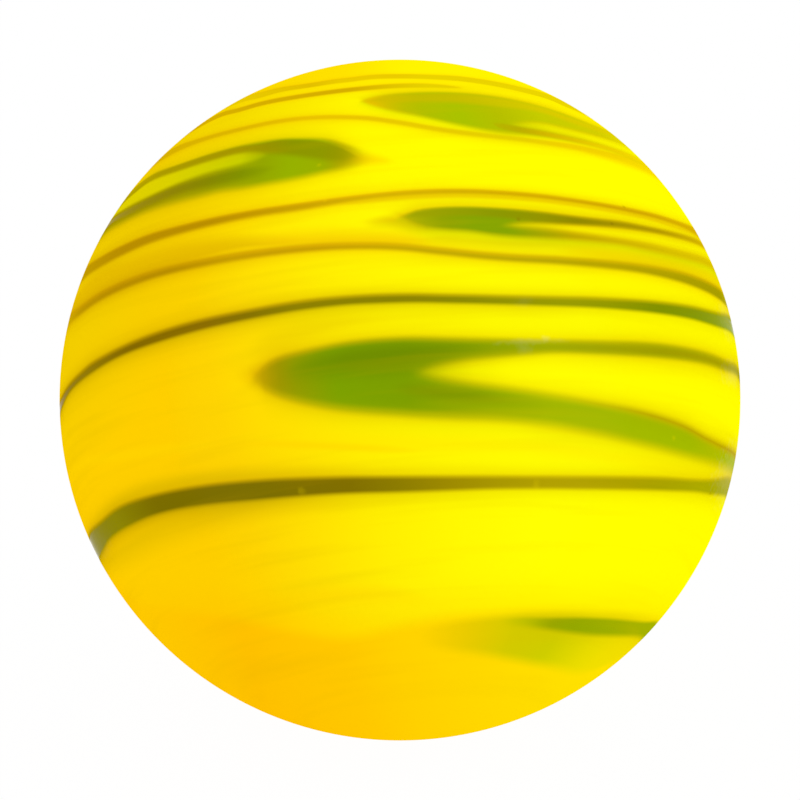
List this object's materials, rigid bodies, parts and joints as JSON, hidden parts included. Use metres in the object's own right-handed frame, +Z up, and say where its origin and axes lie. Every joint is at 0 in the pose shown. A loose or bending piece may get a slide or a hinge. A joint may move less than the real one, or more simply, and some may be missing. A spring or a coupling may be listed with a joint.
{
  "type": "glass marble",
  "caption": "Solid round glass ball with a smooth polished surface, opaque yellow glass with green and amber strands swirled through it.",
  "frame": {"origin": "centre of the ball", "axes": "+Z up as the picture shows it, -Y towards the camera; the ball itself has no preferred direction"},
  "size_m": [0.016, 0.016, 0.016],
  "materials": {
    "swirl_glass": "gloss"
  },
  "bodies": {
    "root": {"marble": "swirl_glass"}
  },
  "joints": []
}
